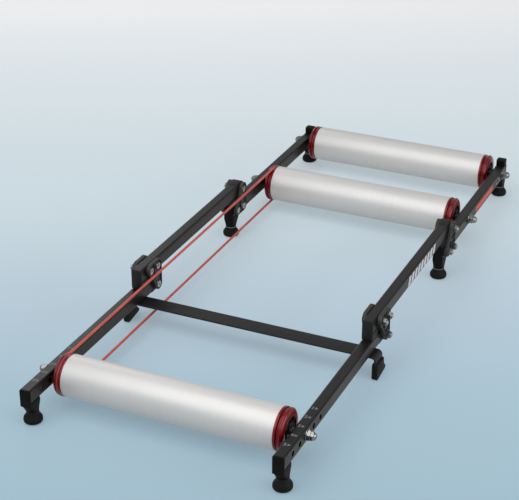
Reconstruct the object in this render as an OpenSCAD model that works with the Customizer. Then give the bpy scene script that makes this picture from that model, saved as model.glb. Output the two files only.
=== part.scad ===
// Folding bike rollers with three drums, a drive belt and a frame that folds in three.
// All sizes are in millimetres. X runs across, Y from the front drum to the rear pair, Z up.
// The floor is z = 0 and the origin is at the middle of the footprint.

/* [Drums] */
// Outer diameter of each drum
drum_d = 76; // [72:1:78]
// Length of each drum tube between its two pulley caps
drum_len = 398; // [380:2:420]
// Wall thickness of the drum tube
drum_wall = 2.5; // [2:0.5:4]
// Width of a pulley cap beyond the end of the drum
cap_w = 17; // [16:0.5:18]
// How far a cap's rim stands proud of the drum's radius
rim_proud = 0.6; // [0.3:0.1:0.8]
// Distance from the drum's end to the middle of the belt groove
groove_at = 7; // [6.5:0.1:7.5]
// Diameter of the round drive belt
belt_d = 5; // [4.5:0.1:5.5]
// Gap between the belt and the groove that holds it
belt_play = 0.3; // [0.2:0.05:0.4]

/* [Axles and bearings] */
// Diameter of the fixed axles
axle_d = 10; // [8:0.5:10]
// Outer diameter of the ball bearings
bearing_d = 26; // [26:1:28]
// Width of the ball bearings
bearing_w = 8; // [7:1:9]
// Balls in one bearing
balls = 9; // [7:1:9]
// Width across the flats of the axle nuts
axle_nut_af = 17; // [15:1:18]

/* [Layout along the length] */
// Distance from the front axle to the middle axle
mid_axle_y = 888; // [884:1:892]
// Distance between the two rear axles
pair_gap = 252; // [248:1:256]
// Front axle to the front end of the front rails
front_over = 94; // [92:1:96]
// Rear axle to the rear end of the rear rails
rear_over = 34; // [32:1:36]
// Front axle to the front pivot
p1_y = 360; // [358:1:361]
// Front axle to the rear pivot
p2_y = 751; // [750:1:753]
// Spacing of the two fixing bolts in each hinge
bolt_gap = 27; // [25:1:28]
// Spacing of the holes that the front axle can be moved between
hole_pitch = 29; // [27:1:29]
// Holes for the front axle in each front rail
hole_count = 5; // [3:2:5]

/* [Layout in height] */
// Height of the front and rear rails' middle, and of the axles
low_z = 60; // [59:1:63]
// How much higher the middle rails run
lift = 40; // [39:1:42]

/* [Rails] */
// Width of a rail tube
rail_w = 21; // [19:1:22]
// Height of a rail tube
rail_h = 26; // [25:0.5:27]
// Wall thickness of a rail tube
rail_wall = 2; // [1.5:0.25:2.5]
// Radius of a rail tube's outer edges
rail_r = 3.5; // [2.5:0.5:4]
// Gap between a pulley cap and the rail beside it
side_gap = 8; // [7.5:0.5:9.5]

/* [Hinges] */
// Thickness of the outer hinge plates
plate_t = 8; // [7:0.5:9]
// Corner radius of the hinge plates
plate_r = 12.5; // [12:0.5:13]
// How far the plates' outline sits above the bolts' middles
plate_up = 2; // [1:0.5:2.5]
// Depth of the pocket in each plate's open face
pocket_d = 3.5; // [2.5:0.5:4]
// Width of the rim round that pocket
pocket_rim = 2.5; // [2:0.5:3]
// How deep the plates' slanted side curves in
scoop = 3.5; // [3:0.5:4]
// Side play between a plate and the rail that turns in it
hinge_play = 0.4; // [0.3:0.05:0.5]
// Diameter of the hinge bolts
bolt_d = 8; // [7:0.5:8]
// Running clearance on the radius of a pivot
pivot_play = 0.06; // [0.03:0.01:0.09]

/* [Feet] */
// Widest diameter of a rubber foot
foot_d = 34; // [32:1:35]
// Height of the rubber part of a foot
foot_h = 21; // [20:1:23]
// Diameter of a foot at its neck
neck_d = 22; // [21:1:23]
// Distance from a rear rail's end to the middle of its foot
foot_in = 12; // [11.5:0.5:13]
// Distance from a front rail's end to the middle of its foot
front_foot_in = 20; // [18:0.5:20.5]
// Length of a foot socket along the rail
socket_len = 31; // [29:1:33]
// Thickness of the metal ring between socket and foot
ring_t = 1.6; // [1:0.2:2]

/* [Cross bar] */
// Width of the flat cross bar
bar_w = 34; // [30:1:36]
// Thickness of the flat cross bar
bar_t = 4; // [3:0.5:5]
// Front pivot to the middle of the cross bar
bar_back = 51; // [49:1:53]
// Inner radius of the bends at its ends
bend_r = 5; // [4:0.5:6]
// Thickness of a shoe across the bar's leg
shoe_t = 11; // [9:0.5:12]
// Height of a shoe
shoe_h = 33; // [30:1:36]

/* [Hidden] */
$fn = 64;
rim_r = drum_d / 2 + rim_proud;
drum_x = drum_len / 2;
cap_x = drum_x + cap_w;
rail_in = cap_x + side_gap;
rail_x = rail_in + rail_w / 2;
rail_out = rail_in + rail_w;
high_z = low_z + lift;
low_top = low_z + rail_h / 2;
low_bottom = low_z - rail_h / 2;
high_top = high_z + rail_h / 2;
high_bottom = high_z - rail_h / 2;
front_y = -front_over;
rear_axle_y = mid_axle_y + pair_gap;
rear_y = rear_axle_y + rear_over;
mid_y = (front_y + rear_y) / 2;
seat = 0.3;

// The drum, the belt and the bearings
groove_r = belt_d / 2 + belt_play;
belt_path_r = rim_r - belt_d / 2 + 0.8;
belt_x = drum_x + groove_at;
rim_bevel = 3.5;
flange_t = 3;
flange_edge = 1;
red_w = cap_w - flange_t;
spigot_len = 12;
spigot_wall = 4;
disc_r = drum_d / 2 - 6;
flange_r = rim_r - rim_bevel - 0.6;
hub_wall = 3.5;
web_t = 4;
web_gap = 1;
hub_rib_w = 3;
boss_len = bearing_w + 4;
race_t = 1.5;
bearing_lip = 2;
bearing_back = 1;
ball_play = 0.04;
inner_race_r = axle_d / 2 + race_t;
outer_race_r = bearing_d / 2 - race_t;
ball_r = (outer_race_r - inner_race_r) / 2 - ball_play;
bearing_x = cap_x - bearing_back - bearing_w / 2;
collar_r = axle_d / 2 + 2.5;
lock_nut_t = 4.5;
thread_play = 0.05;
washer_t = 1.6;
washer_over = 2;
axle_nut_t = 6;
cap_nut_t = 4.5;
cap_nut_af = axle_nut_af - 2;
dome_r = cap_nut_af / 2 - 0.5;
dome_h = 5;
dome_ball_r = (dome_r * dome_r + dome_h * dome_h) / 2 / dome_h;
axle_end = rail_out + washer_t + axle_nut_t + cap_nut_t;
hole_play = 0.2;

// The rails' ends
p1_z = low_z;
p2_z = high_z;
front_knuckle_len = 17;
rear_knuckle_len = 13;
mid_front_over = 58;
low_front_over = 42;
low_back = p1_y - front_knuckle_len;
mid_front = p1_y - mid_front_over;
mid_back = p2_y - rear_knuckle_len;
low_front = p2_y - low_front_over;
cap_t = 3;
plug_play = 0.1;
knuckle_in = 22;
front_plug_len = 20;
stop_slant = 5;
front_knuckle_r = rail_h / 2;
rear_knuckle_r = rail_h / 2 + 3;
hump_len = 8;
hump_rise = 6;
pad_over = 6;
pad_slant = 4;
pad_edge = 3;
slot_at = 214;
slot_y = mid_axle_y + slot_at;
slot_len = 15;
slot_w = 6;

// The hinges
inner_t = side_gap - hinge_play - 0.6;
inner_face = rail_in - hinge_play - inner_t;
outer_face = rail_out + hinge_play + plate_t;
inner_floor = inner_face + min(pocket_d, inner_t - 3.5);
outer_floor = outer_face - pocket_d;
head_r = 6.6;
head_h = inner_floor - inner_face - 0.1;
hex_af = 5;
nut_af = 13;
nut_t = 6.5;
bolt_end = outer_face + nut_t + 2;
rib_t = 2;
head_clear = 8.2;
boss_r = nut_af / 2 + 3;
pad_more = 18;
pad_less = 7;
key_floor = 1.2;
front_fix = [[p1_y - bolt_gap, high_z], [p1_y, high_z]];
front_pivot = [p1_y, p1_z];
rear_fix = [[p2_y - bolt_gap, low_z], [p2_y, low_z]];
rear_pivot = [p2_y, p2_z];
front_corners = [front_fix[0], front_pivot, front_fix[1]];
rear_corners = [rear_pivot, rear_fix[0], rear_fix[1]];
fix_play = 0.1;

// The feet
foot_edge_r = 5;
bell_1 = foot_h * 0.45;
bell_2 = foot_h * 0.62;
bell_3 = foot_h * 0.76;
bell_4 = foot_h * 0.88;
socket_drop = 8;
recess_t = 2;
front_in = 24;
hinge_in = 6;
post_in = 12;
stem_r = 4;
stem_in = 14;
socket_bottom = foot_h + ring_t;
ring_r = neck_d / 2 + 0.4;
post_len = 18;
socket_r = 5;
post_w = rail_w - 2;
post_h = lift - rail_h - seat;

// The cross bar
bar_y = p1_y - bar_back;
leg_out = 8;
leg_x = rail_out + leg_out;
leg_bottom = 10;
bar_z = low_bottom - bar_t;
shoe_over = 1.5;
shoe_edge = 3;
shoe_front_rise = 4;
shoe_x = leg_x - (shoe_t - bar_t) / 2;
shoe_half = bar_w / 2 + shoe_over;
shoe_heel = 7;
shoe_rise = 8;
shoe_heel_h = 6;
screw_r = 2.5;
screw_hole_r = 2.6;
screw_head_r = 4.8;
screw_head_h = 3;
screw_in = 6;

// Helpers

// Puts the front axle's frame of reference at the middle of the footprint.
module placed() {
    translate([0, -mid_y, 0]) children();
}

// The same thing on the left and on the right.
module both_sides() {
    children();
    mirror([1, 0, 0]) children();
}

// Draws what is written for the right side on the left.
module left_side() {
    mirror([1, 0, 0]) children();
}

// A cylinder along X from x0 to x1 at a place in the side view.
module along_x(x0, x1, r, at) {
    translate([x0, at[0], at[1]]) rotate([0, 90, 0]) cylinder(h = x1 - x0, r = r);
}

// A hexagonal prism along X.
module hex_x(x0, x1, af, at) {
    translate([x0, at[0], at[1]]) rotate([0, 90, 0])
        cylinder(h = x1 - x0, r = af / 2 / cos(30), $fn = 6);
}

// A side view drawn in Y and Z, made solid from x0 to x1.
module side_view(x0, x1) {
    translate([x0, 0, 0]) rotate([90, 0, 90]) linear_extrude(height = x1 - x0) children();
}

// A front view drawn in X and Z, made solid from y0 to y1.
module front_view(y0, y1) {
    translate([0, y1, 0]) rotate([90, 0, 0]) linear_extrude(height = y1 - y0) children();
}

// A rectangle with round corners, round its own middle.
module round_rect(w, h, r) {
    square([w - 2 * r, h], center = true);
    square([w, h - 2 * r], center = true);
    for (sx = [-1, 1], sy = [-1, 1])
        translate([sx * (w / 2 - r), sy * (h / 2 - r)]) circle(r = r);
}

// Drums

module drum(y) {
    translate([-drum_x, y, low_z]) rotate([0, 90, 0]) difference() {
        cylinder(h = drum_len, r = drum_d / 2);
        translate([0, 0, -1]) cylinder(h = drum_len + 2, r = drum_d / 2 - drum_wall);
    }
}

// The pulley cap is one turned ring with a spigot, a belt groove and a wide bevel.
module pulley_cap(y) {
    spigot_r = drum_d / 2 - drum_wall - plug_play;
    translate([drum_x, y, low_z]) rotate([0, 90, 0]) rotate_extrude() difference() {
        polygon([
            [disc_r, -spigot_len],
            [spigot_r, -spigot_len],
            [spigot_r, 0],
            [rim_r, 0],
            [rim_r, red_w - rim_bevel],
            [rim_r - 0.3 * rim_bevel, red_w - 0.3 * rim_bevel],
            [rim_r - rim_bevel, red_w],
            [disc_r, red_w]
        ]);
        translate([belt_path_r, groove_at]) circle(r = groove_r);
        translate([belt_path_r, groove_at - groove_r]) square([groove_r * 2, groove_r * 2]);
    }
}

// The black disc carries the bearing in a boss, with a web between boss and rim and six ribs
// behind it. Its rim closes the end of the red cap.
module hub_disc(y) {
    boss_out = bearing_d / 2 + hub_wall;
    inside_r = disc_r - spigot_wall;
    seat_r = bearing_d / 2;
    seat_z = cap_w - bearing_back - bearing_w;
    web_z = cap_w - web_gap - web_t;
    translate([drum_x, y, low_z]) rotate([0, 90, 0]) {
        rotate_extrude() polygon([
            [inside_r, -spigot_len],
            [disc_r, -spigot_len],
            [disc_r, red_w],
            [flange_r, red_w],
            [flange_r, cap_w - flange_edge],
            [flange_r - flange_edge, cap_w],
            [inside_r, cap_w],
            [inside_r, cap_w - web_gap],
            [boss_out, cap_w - web_gap],
            [boss_out, cap_w],
            [seat_r, cap_w],
            [seat_r, seat_z],
            [seat_r - bearing_lip, seat_z],
            [seat_r - bearing_lip, cap_w - boss_len],
            [boss_out, cap_w - boss_len],
            [boss_out, web_z],
            [inside_r, web_z]
        ]);
        for (a = [0:60:300]) rotate([0, 0, a]) translate([boss_out - 1, -hub_rib_w / 2, 0])
            cube([inside_r - boss_out + 2, hub_rib_w, web_z + 1]);
    }
}

// The outer race and its balls.
module bearing(y) {
    at = [y, low_z];
    difference() {
        along_x(bearing_x - bearing_w / 2, bearing_x + bearing_w / 2, bearing_d / 2, at);
        along_x(bearing_x - bearing_w, bearing_x + bearing_w, outer_race_r, at);
    }
    for (i = [0 : balls - 1])
        translate([bearing_x, y, low_z]) rotate([i * 360 / balls, 0, 0])
            translate([0, (inner_race_r + outer_race_r) / 2, 0]) sphere(r = ball_r);
}

// Axles

module axle(y) {
    along_x(-axle_end, axle_end, axle_d / 2, [y, low_z]);
}

// Washer and hex nut against the rail, then a domed nut over the axle's end.
module axle_nuts(y) {
    at = [y, low_z];
    x1 = rail_out + washer_t;
    x2 = x1 + axle_nut_t;
    x3 = x2 + cap_nut_t;
    difference() {
        union() {
            along_x(rail_out, x1, axle_nut_af / 2 + washer_over, at);
            hex_x(x1, x2, axle_nut_af, at);
            hex_x(x2, x3, cap_nut_af, at);
            translate([x3, y, low_z]) rotate([0, 90, 0]) rotate_extrude() intersection() {
                translate([0, dome_h - dome_ball_r]) circle(r = dome_ball_r);
                translate([0, -0.5]) square([dome_r, dome_h + 1]);
            }
        }
        along_x(rail_out - 1, axle_end, axle_d / 2 + thread_play, at);
    }
}

// Inner race, spacer tube and lock nut between the bearing and the rail.
module axle_collars(y) {
    at = [y, low_z];
    race_out = bearing_x + bearing_w / 2;
    difference() {
        union() {
            along_x(bearing_x - bearing_w / 2, race_out, inner_race_r, at);
            along_x(race_out, rail_in, collar_r, at);
            hex_x(rail_in - lock_nut_t, rail_in, cap_nut_af, at);
        }
        along_x(bearing_x - bearing_w, rail_in + 1, axle_d / 2 + thread_play, at);
    }
}

// Rails

module rail_tube(y0, y1, z) {
    translate([rail_x, 0, z]) front_view(y0, y1) difference() {
        round_rect(rail_w, rail_h, rail_r);
        round_rect(rail_w - 2 * rail_wall, rail_h - 2 * rail_wall, rail_r - rail_wall);
    }
}

// What fits inside a rail tube.
module rail_plug(y0, y1, z) {
    w = rail_w - 2 * (rail_wall + plug_play);
    h = rail_h - 2 * (rail_wall + plug_play);
    translate([rail_x, 0, z]) front_view(y0, y1) round_rect(w, h, rail_r - rail_wall);
}

// A full-size end cap on a rail tube.
module rail_cap(y0, y1, z) {
    translate([rail_x, 0, z]) front_view(y0, y1) round_rect(rail_w, rail_h, rail_r);
}

module cross_hole(y, z, r) {
    along_x(rail_in - 1, rail_out + 1, r, [y, z]);
}

module front_rail() {
    first = -(hole_count - 1) / 2;
    difference() {
        rail_tube(front_y + cap_t, low_back, low_z);
        for (i = [0 : hole_count - 1])
            cross_hole((first + i) * hole_pitch, low_z, axle_d / 2 + hole_play);
        translate([rail_x, bar_y, low_bottom - 1]) cylinder(h = rail_wall + 2, r = screw_hole_r);
    }
}

module middle_rail() {
    difference() {
        rail_tube(mid_front + cap_t, mid_back, high_z);
        for (p = front_fix)
            cross_hole(p[0], p[1], bolt_d / 2 + fix_play);
    }
}

module rear_rail() {
    difference() {
        rail_tube(low_front + cap_t, rear_y - cap_t, low_z);
        for (y = [mid_axle_y, rear_axle_y]) cross_hole(y, low_z, axle_d / 2 + hole_play);
        for (p = rear_fix)
            cross_hole(p[0], p[1], bolt_d / 2 + fix_play);
        side_view(rail_x, rail_out + 1) translate([slot_y, low_z]) {
            square([slot_len - slot_w, slot_w], center = true);
            for (s = [-1, 1]) translate([s * (slot_len - slot_w) / 2, 0]) circle(d = slot_w);
        }
    }
}

// The plug closes the middle rail's front end. Its block under the rail is the front stop.
module middle_plug() {
    rail_cap(mid_front, mid_front + cap_t, high_z);
    rail_plug(mid_front + cap_t - 1, mid_front + front_plug_len, high_z);
    intersection() {
        translate([rail_in, mid_front, low_top + seat])
            cube([rail_w, socket_len, high_bottom - low_top - seat]);
        side_view(rail_in, rail_out) polygon([
            [mid_front, high_bottom + 1],
            [mid_front, low_top],
            [mid_front + socket_len - stop_slant, low_top],
            [mid_front + socket_len, high_bottom + 1]
        ]);
    }
    translate([rail_in, mid_front, high_bottom - 1]) cube([rail_w, cap_t, rail_r + 2]);
}

// The rear knuckle turns on the rear pivot bolt. Its shoe rests on the rear rail.
module middle_knuckle() {
    shoe_y0 = low_front + 1;
    difference() {
        union() {
            rail_plug(mid_back - knuckle_in, mid_back + 1, high_z);
            side_view(rail_in, rail_out) {
                intersection() {
                    translate([p2_y, p2_z]) circle(r = rear_knuckle_r);
                    translate([mid_back, p2_z - rear_knuckle_r])
                        square([3 * rear_knuckle_r, 2 * rear_knuckle_r]);
                }
                translate([mid_back, p2_z - rear_knuckle_r])
                    square([p2_y - mid_back, 2 * rear_knuckle_r]);
                polygon([
                    [mid_back - hump_len, high_top],
                    [mid_back + 0.01, high_top],
                    [mid_back + 0.01, p2_z + rear_knuckle_r],
                    [mid_back - hump_len + hump_rise, p2_z + rear_knuckle_r]
                ]);
                polygon([
                    [shoe_y0, low_top + seat],
                    [mid_back + pad_over, low_top + seat],
                    [mid_back + pad_over, high_bottom],
                    [shoe_y0 + pad_slant, high_bottom],
                    [shoe_y0, high_bottom - pad_edge]
                ]);
            }
        }
        cross_hole(p2_y, p2_z, bolt_d / 2 + pivot_play);
    }
}

// The front rail's rounded end turns on the front pivot bolt.
module front_knuckle() {
    difference() {
        union() {
            rail_plug(low_back - knuckle_in, low_back + 1, low_z);
            side_view(rail_in, rail_out) {
                translate([p1_y, p1_z]) circle(r = front_knuckle_r);
                translate([low_back, low_bottom]) square([p1_y - low_back, rail_h]);
            }
        }
        cross_hole(p1_y, p1_z, bolt_d / 2 + pivot_play);
    }
}

// Hinge plates

// Unit vector from a to b, and the direction square to that line on its right.
function unit(a, b) = (b - a) / norm(b - a);
function right_of(a, b) = let (u = unit(a, b)) [u[1], -u[0]];

// Three round corners joined by straight sides, drawn inset from the full outline.
// The side from a to b curves in.
module plate_outline(a, b, c, inset) {
    r = plate_r - inset;
    ab = right_of(a, b);
    bc = right_of(b, c);
    ca = right_of(c, a);
    half = norm(b - a) / 2;
    scoop_r = (half * half + scoop * scoop) / 2 / scoop;
    difference() {
        union() {
            for (p = [a, b, c]) translate(p) circle(r = r);
            polygon([a + r * ab, b + r * ab, b + r * bc, c + r * bc, c + r * ca, a + r * ca]);
        }
        translate((a + b) / 2 + ab * (plate_r + scoop_r - scoop)) circle(r = scoop_r + inset);
    }
}

// The outline has its corners a little above the bolts.
module hinge_outline(corners, inset) {
    up = [0, plate_up];
    plate_outline(corners[0] + up, corners[1] + up, corners[2] + up, inset);
}

// Two ribs that cross the pocket between the bolts.
module hinge_ribs(corners) {
    for (p = [corners[0], corners[1]])
        translate((p + corners[2]) / 2)
            rotate(atan2(corners[2][1] - p[1], corners[2][0] - p[0]))
                square([rib_t, 3 * plate_r], center = true);
}

module bolt_circles(corners, r) {
    for (p = corners) translate(p) circle(r = r);
}

// The inner plate's pocket takes the bolt heads, clear of the ribs.
module inner_pocket(corners) {
    difference() {
        hinge_outline(corners, pocket_rim);
        difference() {
            hinge_ribs(corners);
            bolt_circles(corners, head_clear);
        }
    }
}

// The outer plate's pocket leaves a boss under each nut.
module outer_pocket(corners) {
    difference() {
        hinge_outline(corners, pocket_rim);
        hinge_ribs(corners);
        bolt_circles(corners, boss_r);
    }
}

// Inner and outer plate. A low pad on each sets it off from the rail that turns.
module hinge_plates(corners, fix, z) {
    mid = (fix[0][0] + fix[1][0]) / 2;
    difference() {
        union() {
            side_view(inner_face, rail_in - hinge_play) hinge_outline(corners, 0);
            side_view(rail_out + hinge_play, outer_face) hinge_outline(corners, 0);
            for (x = [rail_in - hinge_play, rail_out])
                side_view(x, x + hinge_play) intersection() {
                    translate([mid, z]) square([bolt_gap + pad_more, rail_h - pad_less], center = true);
                    hinge_outline(corners, 0);
                }
        }
        side_view(inner_face - 1, inner_floor) inner_pocket(corners);
        side_view(outer_floor, outer_face + 1) outer_pocket(corners);
        for (p = corners) along_x(inner_face - 1, outer_face + 1, bolt_d / 2 + fix_play, p);
    }
}

// A round head with a hex socket in the inner plate, and a shank to beyond the nut.
module hinge_bolt(p) {
    difference() {
        union() {
            along_x(inner_floor - head_h, inner_floor, head_r, p);
            along_x(inner_floor - 0.5, bolt_end, bolt_d / 2, p);
        }
        hex_x(inner_floor - head_h - 1, inner_floor - key_floor, hex_af, p);
    }
}

module hinge_nut(p) {
    difference() {
        hex_x(outer_face, outer_face + nut_t, nut_af, p);
        along_x(outer_face - 1, outer_face + nut_t + 1, bolt_d / 2 + thread_play, p);
    }
}

// Feet

// A cap on a rail's end with a tapered socket under it. along is 1 where the rail runs back.
module end_socket(end, along, insert, foot_at) {
    y_cap = end + along * cap_t;
    y_in = end + along * (cap_t + insert);
    foot_y = end + along * foot_at;
    top = low_bottom;
    rail_cap(min(end, y_cap), max(end, y_cap), low_z);
    y_fuse = y_cap - along * 0.5;
    rail_plug(min(y_fuse, y_in), max(y_fuse, y_in), low_z);
    translate([rail_in, min(end, y_cap), top - 1]) cube([rail_w, cap_t, rail_r + 2]);
    intersection() {
        side_view(rail_in - 2, rail_out + 2) polygon([
            [end, top],
            [end + along * socket_len, top],
            [foot_y + along * neck_d / 2, socket_bottom],
            [foot_y - along * neck_d / 2, socket_bottom],
            [end, top - socket_drop]
        ]);
        front_view(front_y - 1, rear_y + 1) polygon([
            [rail_in, top],
            [rail_out, top],
            [rail_x + neck_d / 2, socket_bottom],
            [rail_x - neck_d / 2, socket_bottom]
        ]);
        translate([rail_x, end + along * socket_len / 2, socket_bottom])
            linear_extrude(height = top - socket_bottom)
                round_rect(neck_d, socket_len, socket_r);
    }
    translate([rail_x, foot_y, socket_bottom - stem_in])
        cylinder(h = stem_in + 1, r = stem_r);
}

// The post rests on the middle rail when the rear section is folded over it.
module rear_post() {
    end_socket(rear_y, -1, post_in, foot_in);
    translate([rail_x - post_w / 2, rear_y - post_len, low_top]) cube([post_w, post_len, post_h]);
    translate([rail_x - post_w / 2, rear_y - cap_t, low_top - rail_r])
        cube([post_w, cap_t, rail_r + 1]);
}

// A rubber bell, hollow under its middle, pushed on the socket's stem.
module rubber_foot(y) {
    wide = foot_d / 2;
    neck = neck_d / 2;
    translate([rail_x, y, 0]) difference() {
        rotate_extrude() {
            translate([wide - foot_edge_r, foot_edge_r]) circle(r = foot_edge_r);
            square([wide - foot_edge_r, foot_edge_r * 2]);
            polygon([
                [0, foot_edge_r],
                [wide, foot_edge_r],
                [wide - 0.3, bell_1],
                [wide - 1.8, bell_2],
                [neck + 1.8, bell_3],
                [neck + 0.3, bell_4],
                [neck, foot_h],
                [0, foot_h]
            ]);
        }
        translate([0, 0, -1]) cylinder(h = recess_t + 1, r = stem_r * 2);
        translate([0, 0, foot_h - stem_in + ring_t - 1])
            cylinder(h = stem_in + 1, r = stem_r + plug_play);
    }
}

module foot_ring(y) {
    translate([rail_x, y, foot_h]) difference() {
        cylinder(h = ring_t, r = ring_r);
        translate([0, 0, -1]) cylinder(h = ring_t + 2, r = stem_r + plug_play);
    }
}

// Cross bar

module bar_leg() {
    bend = [leg_x - bend_r, bar_z - bend_r];
    square_top = bend[1];
    intersection() {
        difference() {
            translate(bend) circle(r = bend_r + bar_t);
            translate(bend) circle(r = bend_r);
        }
        translate(bend) square([bend_r + bar_t + 1, bend_r + bar_t + 1]);
    }
    translate([leg_x, leg_bottom]) square([bar_t, square_top - leg_bottom]);
}

module bar() {
    half = leg_x - bend_r;
    difference() {
        front_view(bar_y - bar_w / 2, bar_y + bar_w / 2) {
            translate([-half, bar_z]) square([2 * half, bar_t]);
            bar_leg();
            mirror([1, 0]) bar_leg();
        }
        both_sides() translate([rail_x, bar_y, bar_z - 1]) cylinder(h = bar_t + 2, r = screw_hole_r);
    }
}

// A rubber shoe on the leg. Its sole is flat at the front and rises to a heel that juts out.
module shoe() {
    difference() {
        side_view(shoe_x, shoe_x + shoe_t) translate([bar_y, 0]) polygon([
            [-shoe_half, shoe_front_rise],
            [-shoe_half + shoe_edge, 0],
            [-shoe_half / 2, 0],
            [shoe_half + shoe_heel, shoe_rise],
            [shoe_half + shoe_heel, shoe_rise + shoe_heel_h],
            [shoe_half, shoe_h - shoe_edge],
            [shoe_half - shoe_edge, shoe_h],
            [-shoe_half + shoe_edge, shoe_h],
            [-shoe_half, shoe_h - shoe_edge]
        ]);
        translate([leg_x, bar_y - bar_w / 2, leg_bottom]) cube([bar_t, bar_w, shoe_h]);
    }
}

module bar_screw() {
    translate([rail_x, bar_y, bar_z - screw_head_h]) {
        cylinder(h = screw_head_h, r = screw_head_r);
        cylinder(h = screw_head_h + bar_t + rail_wall + screw_in, r = screw_r);
    }
}

// Belt

module belt() {
    translate([-belt_x, 0, low_z]) rotate([0, 90, 0]) rotate([0, 0, 180])
        rotate_extrude(angle = 180) translate([belt_path_r, 0]) circle(d = belt_d);
    translate([-belt_x, mid_axle_y, low_z]) rotate([0, 90, 0])
        rotate_extrude(angle = 180) translate([belt_path_r, 0]) circle(d = belt_d);
    for (s = [-1, 1])
        translate([-belt_x, 0, low_z + s * belt_path_r]) rotate([-90, 0, 0])
            cylinder(h = mid_axle_y, d = belt_d);
}

// Nodes

module middle_rail_left() {
    color("DimGray") placed() left_side() middle_rail();
}

module middle_rail_right() {
    color("DimGray") placed() middle_rail();
}

module middle_plug_left() {
    color("SlateGray") placed() left_side() middle_plug();
}

module middle_plug_right() {
    color("SlateGray") placed() middle_plug();
}

module middle_knuckle_left() {
    color("Black") placed() left_side() middle_knuckle();
}

module middle_knuckle_right() {
    color("Black") placed() middle_knuckle();
}

module front_hinge_plates_left() {
    color("DarkSlateGray") placed() left_side() hinge_plates(front_corners, front_fix, high_z);
}

module front_hinge_plates_right() {
    color("DarkSlateGray") placed() hinge_plates(front_corners, front_fix, high_z);
}

module front_hinge_bolts() {
    color("Silver") placed() both_sides() for (p = front_fix) hinge_bolt(p);
}

module front_pivot_bolts() {
    color("Gold") placed() both_sides() hinge_bolt(front_pivot);
}

module front_hinge_nuts() {
    color("Silver") placed() both_sides() for (p = front_corners) hinge_nut(p);
}

module drive_belt() {
    color("OrangeRed") placed() belt();
}

module front_rail_left() {
    color("Gray") placed() left_side() front_rail();
}

module front_rail_right() {
    color("Gray") placed() front_rail();
}

module front_knuckle_left() {
    color("Black") placed() left_side() front_knuckle();
}

module front_knuckle_right() {
    color("Black") placed() front_knuckle();
}

module front_socket_left() {
    color("Navy") placed() left_side() end_socket(front_y, 1, front_in, front_foot_in);
}

module front_socket_right() {
    color("Navy") placed() end_socket(front_y, 1, front_in, front_foot_in);
}

module front_foot_left() {
    color("Brown") placed() left_side() rubber_foot(front_y + front_foot_in);
}

module front_foot_right() {
    color("Brown") placed() rubber_foot(front_y + front_foot_in);
}

module front_foot_rings() {
    color("White") placed() both_sides() foot_ring(front_y + front_foot_in);
}

module cross_bar() {
    color("SteelBlue") placed() bar();
}

module cross_bar_shoes() {
    color("Sienna") placed() both_sides() shoe();
}

module cross_bar_screws() {
    color("Silver") placed() both_sides() bar_screw();
}

module front_axle() {
    color("Gold") placed() axle(0);
}

module front_axle_nuts() {
    color("Silver") placed() both_sides() axle_nuts(0);
}

module front_axle_collars() {
    color("Tan") placed() both_sides() axle_collars(0);
}

module rear_rail_left() {
    color("Gray") placed() left_side() rear_rail();
}

module rear_rail_right() {
    color("Gray") placed() rear_rail();
}

module rear_hinge_plates_left() {
    color("DarkSlateGray") placed() left_side() hinge_plates(rear_corners, rear_fix, low_z);
}

module rear_hinge_plates_right() {
    color("DarkSlateGray") placed() hinge_plates(rear_corners, rear_fix, low_z);
}

module rear_hinge_bolts() {
    color("Silver") placed() both_sides() for (p = rear_fix) hinge_bolt(p);
}

module rear_pivot_bolts() {
    color("Gold") placed() both_sides() hinge_bolt(rear_pivot);
}

module rear_hinge_nuts() {
    color("Silver") placed() both_sides() for (p = rear_corners) hinge_nut(p);
}

module hinge_socket_left() {
    color("Navy") placed() left_side() end_socket(low_front, 1, hinge_in, foot_in);
}

module hinge_socket_right() {
    color("Navy") placed() end_socket(low_front, 1, hinge_in, foot_in);
}

module hinge_foot_left() {
    color("Brown") placed() left_side() rubber_foot(low_front + foot_in);
}

module hinge_foot_right() {
    color("Brown") placed() rubber_foot(low_front + foot_in);
}

module rear_post_left() {
    color("Navy") placed() left_side() rear_post();
}

module rear_post_right() {
    color("Navy") placed() rear_post();
}

module rear_foot_left() {
    color("Brown") placed() left_side() rubber_foot(rear_y - foot_in);
}

module rear_foot_right() {
    color("Brown") placed() rubber_foot(rear_y - foot_in);
}

module rear_foot_rings() {
    color("White") placed() both_sides() for (y = [low_front + foot_in, rear_y - foot_in]) foot_ring(y);
}

module middle_axle() {
    color("Gold") placed() axle(mid_axle_y);
}

module rear_axle() {
    color("Gold") placed() axle(rear_axle_y);
}

module rear_axle_nuts() {
    color("Silver") placed() both_sides() for (y = [mid_axle_y, rear_axle_y]) axle_nuts(y);
}

module rear_axle_collars() {
    color("Tan") placed() both_sides() for (y = [mid_axle_y, rear_axle_y]) axle_collars(y);
}

module front_drum() {
    color("LightGray") placed() drum(0);
}

module front_pulley_caps() {
    color("Crimson") placed() both_sides() pulley_cap(0);
}

module front_hub_discs() {
    color("DimGray") placed() both_sides() hub_disc(0);
}

module front_bearings() {
    color("LightSteelBlue") placed() both_sides() bearing(0);
}

module middle_drum() {
    color("LightGray") placed() drum(mid_axle_y);
}

module middle_pulley_caps() {
    color("Crimson") placed() both_sides() pulley_cap(mid_axle_y);
}

module middle_hub_discs() {
    color("DimGray") placed() both_sides() hub_disc(mid_axle_y);
}

module middle_bearings() {
    color("LightSteelBlue") placed() both_sides() bearing(mid_axle_y);
}

module rear_drum() {
    color("LightGray") placed() drum(rear_axle_y);
}

module rear_pulley_caps() {
    color("Crimson") placed() both_sides() pulley_cap(rear_axle_y);
}

module rear_hub_discs() {
    color("DimGray") placed() both_sides() hub_disc(rear_axle_y);
}

module rear_bearings() {
    color("LightSteelBlue") placed() both_sides() bearing(rear_axle_y);
}

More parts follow.
